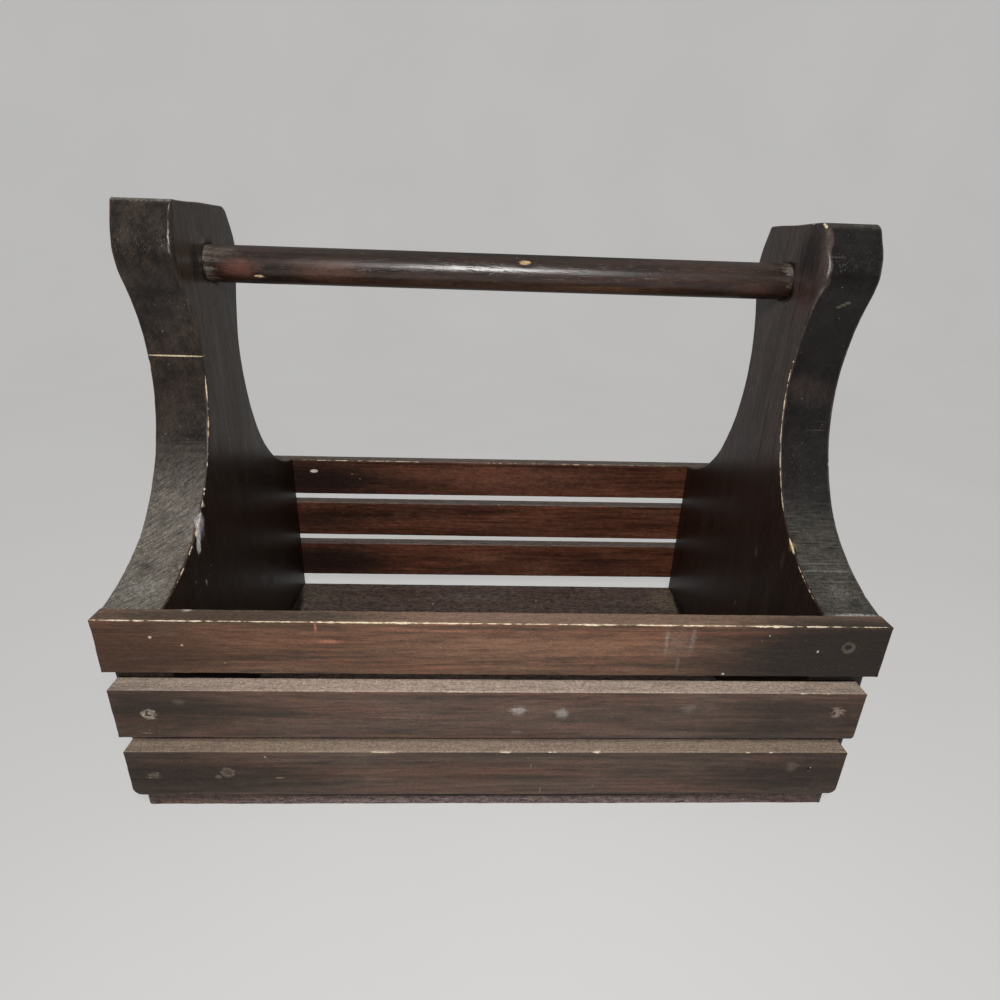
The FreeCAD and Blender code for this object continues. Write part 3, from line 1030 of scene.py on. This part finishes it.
BACK_MARKS = {
    "top": [
        (8, BACK, 70, (84, 5, 12), (128, 82, 64), 0.55, 0.9, 0.5),
        (-92, BACK, 68, (62, 5, 16), (28, 15, 9), 0.97, 0.75, 0.2),
        (0, BACK, 77.4, (120, 5, 0.7), (30, 17, 12), 0.7, 0.6, 0.3),
        (-92.8, BACK, 72.7, (2.3, 1.5, 1.0), (250, 240, 222), 1.0, 0.3, 0.2),
        (-73.2, BACK, 71.4, (0.6, 1, 0.5), (160, 130, 110), 0.8, 0.5, 0.3),
        (-69.2, BACK, 68.7, (0.5, 1, 0.5), (160, 130, 110), 0.8, 0.5, 0.3),
    ],
    "middle": [
        (-95, BACK, 45, (46, 5, 13), (38, 18, 9), 0.75, 0.9, 0.3),
        (-20, BACK, 50, (20, 5, 5), (40, 24, 16), 0.5, 0.9, 0.6),
    ],
    "bottom": [
        (-92, BACK, 20, (66, 5, 16), (29, 15, 8), 0.97, 0.75, 0.2),
        (-6, BACK, 23, (26, 5, 5), (138, 92, 68), 0.5, 0.9, 0.6),
        (60, BACK, 20, (45, 5, 8), (48, 29, 22), 0.5, 0.9, 0.6),
    ],
}
END_MARKS = {
    "left": [
        (-111, -20, 146, (12, 9, 0.34), (230, 208, 174), 0.95, 0.3, 0.3),
        (LEFT, -38.6, 93.0, (2.4, 3.6, 6.2), (196, 190, 198), 0.95, 0.7, 0.6),
        (LEFT, -41.2, 89.6, (2.4, 2.0, 2.6), (250, 248, 240), 1.0, 0.4, 0.4),
        (LEFT, -42.4, 86.6, (2.4, 1.9, 3.4), (250, 248, 242), 1.0, 0.4, 0.4),
        (LEFT, -31.2, 103, (0.8, 0.6, 0.7), (220, 216, 206), 0.9, 0.4, 0.3),
        (LEFT, -34, 98, (0.8, 0.8, 0.8), (190, 184, 174), 0.9, 0.4, 0.3),
        (LEFT, -48.2, 76, (1, 0.5, 0.6), (150, 142, 132), 0.7, 0.6, 0.4),
        (-112, -64, 83, (9, 7, 3.5), (176, 172, 162), 0.6, 0.9, 0.9),
        (LEFT, -41.3, 71.9, (1, 0.7, 1.4), (170, 160, 150), 0.8, 0.5, 0.5),
        # Painted shade on the inner face, just in front of where the rod goes in
        (LEFT, -12, ROD_Z + 0.6, (1.5, 4.4, 6), (24, 17, 15), 0.9, 0.6, 0.4),
        (LEFT, -3, ROD_Z + 6, (1.5, 5, 3), (150, 142, 132), 0.4, 0.8, 0.8),
        (LEFT, 6, 117, (2, 9, 20), (84, 80, 78), 0.4, 0.9, 0.6),
        (LEFT, 5, 66, (1, 1.0, 4.5), (112, 104, 100), 0.45, 0.8, 0.8),
        (LEFT, 20, 38, (1, 9, 3), (66, 62, 64), 0.5, 0.9, 0.8),
        (-111, -19, 134, (12, 9, 12), (46, 33, 27), 0.6, 0.9, 0.7),
    ],
    "right": [
        (108, -31.7, 118, (0.8, 0.8, 0.8), (220, 215, 205), 0.9, 0.4, 0.2),
        (111.0, -24, 168.7, (1.3, 6, 0.7), (140, 134, 108), 0.5, 0.9, 0.4),
        (112.2, -24, 169.4, (1.3, 6, 0.7), (150, 142, 116), 0.5, 0.9, 0.4),
        (113.4, -24, 170.1, (1.3, 6, 0.7), (150, 142, 116), 0.5, 0.9, 0.4),
        (RIGHT, -43.4, 90.3, (2, 1.5, 2.4), (176, 134, 80), 0.8, 0.6, 0.8),
        (RIGHT, -20.8, 76.3, (1, 1.6, 3.4), (120, 108, 100), 0.5, 0.8, 0.8),
        (RIGHT, -40.1, 83, (1, 2.2, 4.6), (96, 76, 66), 0.5, 0.8, 0.8),
        (RIGHT, -12.5, 48.2, (1, 1.2, 1.8), (110, 104, 98), 0.6, 0.6, 0.6),
        (RIGHT, -16, 170, (1.5, 8, 9), (98, 64, 57), 0.45, 0.9, 0.7),
        (RIGHT, -11.2, 162, (1.2, 0.4, 11), (24, 17, 15), 0.8, 0.5, 0.3),
        (RIGHT, -6.6, 122, (1.2, 0.4, 20), (24, 17, 15), 0.85, 0.5, 0.3),
        (102.5, -14, 185, (3, 12, 12), (34, 27, 26), 0.85, 0.8, 0.3),
        (RIGHT, 17, 70, (1, 2.5, 7), (84, 68, 62), 0.4, 0.9, 0.8),
        (110, -19, 140, (12, 10, 8), (64, 49, 44), 0.5, 0.9, 0.6),
        (112, -52, 85.4, (13, 6, 0.28), (128, 124, 116), 0.6, 0.5, 0.5),
        (110, -51, 86.8, (9, 6, 0.22), (120, 116, 108), 0.55, 0.5, 0.5),
        (114, -54, 83.6, (8, 6, 0.22), (110, 106, 98), 0.5, 0.5, 0.5),
        # Pale bands along the right ear's inner arris: rubbed wear and a painted highlight
        (102.8, -27.2, 181, (1.0, 1.5, 8), (156, 148, 140), 0.55, 0.8, 0.4),
        (102.8, -26, 171, (1.0, 1.6, 5), (150, 142, 135), 0.5, 0.8, 0.4),
        (111, -22, 155, (12, 12, 12), (18, 15, 14), 0.7, 0.7, 0.6),
        (112, -70.6, 79.6, (10, 1.6, 1.6), (196, 194, 188), 0.75, 0.6, 0.7),
        (112, -62, 83, (7, 6, 3), (150, 146, 138), 0.5, 0.9, 0.9),
    ],
}
LOWER_CHIP = on_rod(-84.1, 171.7)
UPPER_CHIP = on_rod(7.4, 179.0)
HANDLE_MARKS = [
    (*LOWER_CHIP, (1.9, 1.2, 0.55), (222, 196, 150), 0.95, 0.3, 0.4),
    (*UPPER_CHIP, (2.3, 1.2, 0.95), (214, 176, 126), 0.95, 0.3, 0.4),
    (-101.5, 0, ROD_Z, (4.5, 9, 9), (150, 142, 132), 0.6, 0.7, 0.9),
    (101.5, 0, ROD_Z + 3, (4.5, 9, 6), (150, 142, 132), 0.6, 0.7, 0.9),
    (-90, -5, ROD_Z - 1, (10, 5, 5), (138, 80, 62), 0.45, 0.95, 0.25),
    (-60, -5, ROD_Z - 1, (20, 5, 5), (124, 80, 60), 0.45, 0.95, 0.25),
    (-84, -3, ROD_Z - 5.9, (9, 6, 0.8), (12, 8, 6), 0.85, 0.5, 0.3),
    (91, -3, ROD_Z - 5.9, (8, 6, 0.8), (12, 8, 6), 0.85, 0.5, 0.3),
    (88, -5, ROD_Z - 3, (12, 5, 3), (98, 60, 50), 0.35, 0.95, 0.25),
    (36, -5, ROD_Z - 4.4, (30, 4, 1.6), (118, 80, 50), 0.45, 0.95, 0.3),
    (-97, -4, ROD_Z + 4, (9, 5, 3), (128, 120, 108), 0.45, 0.9, 0.5),
    # Painted shade on the top of the rod, and painted light along its lower front
    (10, 2, ROD_Z + 6.5, (84, 9, 4.5), (14, 10, 9), 0.85, 0.7, 0.15),
    (0, -3, ROD_Z - 5.5, (100, 6, 3.6), (112, 82, 66), 0.4, 0.9, 0.25),
]
BOTTOM_MARKS = [(x, y, FLOOR, (0.7, 0.9, 1), (200, 195, 188), 0.9, 0.4, 0.2)
                for x, y in ((-65.6, 69), (-30.2, 51), (25.7, 55.1), (-14, 12), (52, -20))]
BOTTOM_MARKS += [
    (-48, 62, FLOOR, (24, 12, 2), (92, 66, 58), 0.5, 0.9, 0.8),
    (38, 62, FLOOR, (34, 10, 2), (90, 68, 60), 0.5, 0.9, 0.8),
    (-10, 58, FLOOR, (24, 8, 2), (130, 118, 110), 0.5, 0.9, 0.9),
    (-94, 58, FLOOR, (15, 14, 2), (124, 114, 98), 0.5, 0.9, 0.9),
    (96, 58, FLOOR, (13, 14, 2), (152, 138, 112), 0.6, 0.9, 0.9),
    (72, 50, FLOOR, (18, 2, 2), (50, 40, 36), 0.5, 0.9, 0.8),
    # Painted shade: dark wedges on the floor along both end boards, widening towards the front
    (-103.6, 30, FLOOR, (6.4, 37, 2), (22, 16, 13), 0.97, 0.25, 0.12),
    (104.8, 30, FLOOR, (4.2, 40, 2), (24, 18, 15), 0.97, 0.25, 0.12),
    (-97.3, 47, FLOOR, (0.7, 8, 2), (150, 144, 126), 0.5, 0.8, 0.9),
    (0, -71.5, 1.0, (125, 1.4, 3.2), (132, 118, 114), 0.6, 0.5, 0.4),
    # Painted shadow: a dark line along the top of the board's front edge, under the bottom front
    # slat
    (0, -71.5, 5.2, (125, 1.4, 1.5), (12, 9, 9), 0.9, 0.4, 0.2),
]


# Dents and chipped edges. A chip says where it is on the outline, how far it reaches both
# ways, how much it widens the edge's rounding, and how bare the wood is.

FRONT_DENTS = {
    "top": [Dent(107.5, 72.6, 1.6, 0.35), Dent(-109.8, 71.3, 1.5, 0.25)],
    "middle": [Dent(-109.1, 45.8, 1.7, 0.4), Dent(110.6, 47.6, 1.8, 0.45)],
    "bottom": [Dent(-111.6, 20.4, 1.6, 0.35), Dent(106.6, 23.0, 1.2, 0.5),
               Dent(-87.9, 21.7, 1.8, 0.15)],
}
FRONT_CHIPS = {
    "top": [
        (-60, 80.4, 75, 1.0, 0.05, 0.9), (60, 80.4, 60, 1.0, 0.0, 0.85),
        (-33, 80.4, 8, 1.0, 0.25, 1.0), (29, 80.4, 5, 1.0, 0.35, 1.0),
        (82, 80.4, 9, 1.0, 0.4, 1.0), (112, 80.4, 3, 1.0, 0.2, 1.0),
    ],
    "middle": [(-47, 55.1, 3, 1.0, 0.3, 0.8), (-8, 55.1, 9, 1.0, 0.1, 0.7),
               (102, 55.1, 8, 1.0, 0.1, 0.8)],
    "bottom": [
        (-37, 30.5, 4, 1.0, 0.25, 1.0), (3, 30.5, 1.6, 1.0, 0.1, 1.0),
        (19, 30.5, 1.5, 1.0, 0.1, 0.9), (33.5, 30.5, 1.0, 1.0, 0.3, 1.0),
        (92, 30.5, 1.2, 1.0, 0.3, 0.9), (-101.2, 11.6, 1.2, 1.0, 0.8, 1.0),
    ],
}
BACK_TOP_CHIPS = [(-68, 79, 30, 2.5, 0.1, 0.9), (40, 79.4, 60, 2.5, 0.1, 0.7)]
END_CHIPS = {
    "left": [
        (-26, 189, 4, 6, 0.9, 0), (-28, 178, 3, 9, 1.1, 0),
        (-39.5, 92, 4, 6, 0.7, 0.95), (-20, 122, 4, 4, 0.2, 1.0),
        (-24, 112, 4, 8, 0, 0.6), (-18.5, 132, 4, 9, 0, 0.65),
        (-33, 99, 3, 1.5, 0.3, 0.9), (-56, 83, 4, 2, 0.3, 0.9),
        (-48, 88, 2, 2, 0.2, 0.8), (-22.7, 165.5, 2, 3, 0, 0.6),
    ],
    "right": [
        (-22, 190, 4, 5, 1.4, 0), (-28, 178, 3, 10, 1.5, 0),
        (-18.5, 133, 5, 14, 0, 0.95), (-27, 107, 8, 13, 0, 0.85),
        (-43, 90.5, 2.5, 3, 0.5, 1.0), (-56, 84, 11, 4, 0, 0.8),
        (-20.4, 194.2, 2, 1.6, 0.3, 1.0), (-12, 194.2, 1.2, 1, 0.3, 0.9),
    ],
}
# Where each front slat ends, left and right, and the radius of its four corners
FRONT_ENDS = {"top": (-120, 120), "middle": (-120, 118.6), "bottom": (-120, 118.4)}
FRONT_CORNERS = {"top": (1, 1, 1, 1), "middle": (1, 2.0, 1.5, 1), "bottom": (4.5, 4.0, 1.5, 1.2)}
# How much of each slat's outer and inner edges is rubbed bare
FRONT_BARE = {"top": (0.45, 0.3), "middle": (0.12, 0.1), "bottom": (0.14, 0.1)}
BACK_BARE = {"top": (0.2, 0.3), "middle": (0.2, 0.1), "bottom": (0.2, 0.1)}
BACK_ENDS = (-119.6, 119.8)
BACK_CORNERS = (1.2, 1.4, 1, 1.2)
BACK_SHIFTS = {"top": (-1.7, -0.8, -0.9, -1.6), "middle": (-0.2, -0.15, 0.6, 0.0),
               "bottom": (-0.25, 0.2, 0.9, 0.3)}


# Everything in its place

def finish_piece(piece, node, slot, grain_axis, seed, tones, marks, dust, **looks):
    """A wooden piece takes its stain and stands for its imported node."""
    name = node.replace("_board", "") if slot == "bottom_board" else node.replace("_dowel", "")
    stain = stained_wood(name + "_stain", grain_axis, seed, tones, marks, dust, **looks)
    piece.data.materials.append(stain)
    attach(piece, "root")
    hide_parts(node)


def front_slats():
    for index, level in enumerate(LEVELS):
        node = "front_slat_" + level
        piece = slat(node, FRONT_ENDS[level], FRONT_CORNERS[level], (0.55, 0.5), FRONT_BARE[level],
                     (FRONT_CHIPS[level], ()), FRONT_DENTS[level], 40 + 3 * index)
        finish_piece(piece, node, "slats", "X", 3 + index, FRONT_STAINS[level],
                     FRONT_MARKS[level], FRONT_DUST[level], warm=0.65)


def back_slats():
    for index, level in enumerate(LEVELS):
        node = "back_slat_" + level
        nail_low, nail_high = node_box(node + "_nails")
        reach = NAIL_HEAD / 2
        dimples = [Dent(nail_low[0] + reach, nail_low[2] + reach, 1.5, 0.35),
                   Dent(nail_high[0] - reach, nail_high[2] - reach, 1.5, 0.35)]
        chips = ((), BACK_TOP_CHIPS if level == "top" else ())
        piece = slat(node, BACK_ENDS, BACK_CORNERS, (0.5, 0.7), BACK_BARE[level], chips, dimples,
                     60 + 3 * index, BACK_SHIFTS[level])
        finish_piece(piece, node, "slats", "X", 11 + index, BACK_TONES, BACK_MARKS[level],
                     BACK_DUST, warm=0.7, sheen=0.25, gritty=2.4)


def end_boards():
    for index, side in enumerate(("left", "right")):
        piece = end_board(side, END_CHIPS[side], 80 + 5 * index)
        finish_piece(piece, side + "_end_board", "end_boards", "Z", 21 + index, END_STAINS[side],
                     END_MARKS[side], END_DUST[side], warm=0.4, sawn=END_SAWN[side], gloss=0.27,
                     gritty=2.4)


def handle_piece():
    chips = [(LOWER_CHIP, (2.2, 1.4, 1.0), 0.35), (UPPER_CHIP, (2.4, 1.4, 1.2), 0.4)]
    finish_piece(handle(chips, 95), "handle_dowel", "handle", "X", 31, HANDLE_TONES,
                 HANDLE_MARKS, HANDLE_DUST, gloss=0.25, sheen=0.65, gritty=2.0)


def bottom_piece():
    finish_piece(bottom_board(70), "bottom_board", "bottom_board", "X", 41, BOTTOM_TONES,
                 BOTTOM_MARKS, BOTTOM_DUST, warm=0.3, gritty=4.0)


def nails():
    steel = dull_steel()
    for name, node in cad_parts.items():
        if name.endswith("_nails"):
            node.data.materials.clear()
            node.data.materials.append(steel)


# Stage, light and camera. Lengths are metres from here on.

MIRRORED_SHARE = 0.35         # how much of the bright background shows in gloss
KEY_PLACE = (0.0, -0.30, 0.29)
KEY_TARGET = (0, 0, 0.07)
KEY_SIZE = 0.11
KEY_POWER = 0.9
CAMERA_PLACE = (-0.008168, -0.230627, 0.183550)
CAMERA_ANGLES = (67.462, -1.7918, -1.7127)
CAMERA_LENS = 21.937          # in mm, on a sensor 36 mm wide


def seen_share(g):
    """1 for what the camera sees by itself, less for what is mirrored, 0 for what only lights."""
    path = g.add("LightPath").outputs
    sockets = {0: path["Is Glossy Ray"], 1: MIRRORED_SHARE, 2: path["Is Camera Ray"]}
    return g.add("Math", sockets, operation="MULTIPLY_ADD").outputs[0]


def backdrop():
    """A pale floor that curves up into a wall."""
    half_width, front, bend, radius, top, steps = 2.5, -2.0, 0.55, 0.5, 2.2, 16
    profile = [(front, 0.0), (bend, 0.0)]
    for k in range(1, steps + 1):
        turn = math.pi / 2 * k / steps
        profile.append((bend + radius * math.sin(turn), radius * (1 - math.cos(turn))))
    profile.append((bend + radius, top))
    verts = [(x, y, z) for y, z in profile for x in (-half_width, half_width)]
    quads = [(2 * k, 2 * k + 1, 2 * k + 3, 2 * k + 2) for k in range(len(profile) - 1)]
    mesh = bpy.data.meshes.new("backdrop")
    mesh.from_pydata(verts, [], quads)
    mesh.shade_smooth()
    mesh.materials.append(pale_backdrop())
    dressed("backdrop", mesh)


def pale_backdrop():
    """Matt pale paper, which also glows a little where it is looked at."""
    g = Graph(bpy.data.materials.new("pale_backdrop"))
    place = g.add("TexCoord").outputs["Object"]
    colour = g.mix(g.noise(place, 6.0, 3), linear(228, 227, 226), linear(236, 235, 233))
    g.put(g.shader.inputs["Base Color"], colour)
    g.shader.inputs["Roughness"].default_value = 0.9
    plain_paper = g.shader.outputs[0]
    glow = g.add("Emission", {"Color": colour, "Strength": 0.85}).outputs[0]
    half = g.add("MixShader", {0: 0.65, 1: plain_paper, 2: glow}).outputs[0]
    sockets = {0: seen_share(g), 1: plain_paper, 2: half}
    whole = g.add("MixShader", sockets).outputs[0]
    g.links.new(whole, g.nodes["Material Output"].inputs["Surface"])
    return g.owner


def key_lamp():
    """One round lamp in front of the tote and above it."""
    lamp = bpy.data.lights.new("key", "AREA")
    lamp.shape = "DISK"
    lamp.size = KEY_SIZE
    lamp.energy = KEY_POWER
    holder = bpy.data.objects.new("key", lamp)
    holder.location = KEY_PLACE
    aim = Vector(KEY_TARGET) - Vector(KEY_PLACE)
    holder.rotation_euler = aim.to_track_quat("-Z", "Y").to_euler()
    bpy.context.scene.collection.objects.link(holder)


def studio():
    """Even light from all around, dimmer than the background that is seen."""
    g = Graph(bpy.data.worlds.new("studio"))
    dim = g.nodes["Background"]
    dim.inputs["Color"].default_value = (1, 1, 1, 1)
    dim.inputs["Strength"].default_value = 0.14
    bright = g.add("Background", {"Strength": 0.9})
    sockets = {0: seen_share(g), 1: dim.outputs[0], 2: bright.outputs[0]}
    both = g.add("MixShader", sockets).outputs[0]
    g.links.new(both, g.nodes["World Output"].inputs["Surface"])
    bpy.context.scene.world = g.owner


def camera():
    """The photograph's place, direction and field of view."""
    lens = bpy.data.cameras.new("camera")
    lens.sensor_fit = "HORIZONTAL"
    lens.sensor_width = 36.0
    lens.lens = CAMERA_LENS
    lens.clip_start = 0.01
    holder = bpy.data.objects.new("camera", lens)
    holder.location = CAMERA_PLACE
    holder.rotation_euler = Euler([math.radians(angle) for angle in CAMERA_ANGLES], "XYZ")
    bpy.context.scene.collection.objects.link(holder)
    bpy.context.scene.camera = holder


camera()
key_lamp()
studio()
backdrop()
front_slats()
back_slats()
end_boards()
handle_piece()
bottom_piece()
nails()
bpy.context.scene.view_settings.view_transform = "Standard"
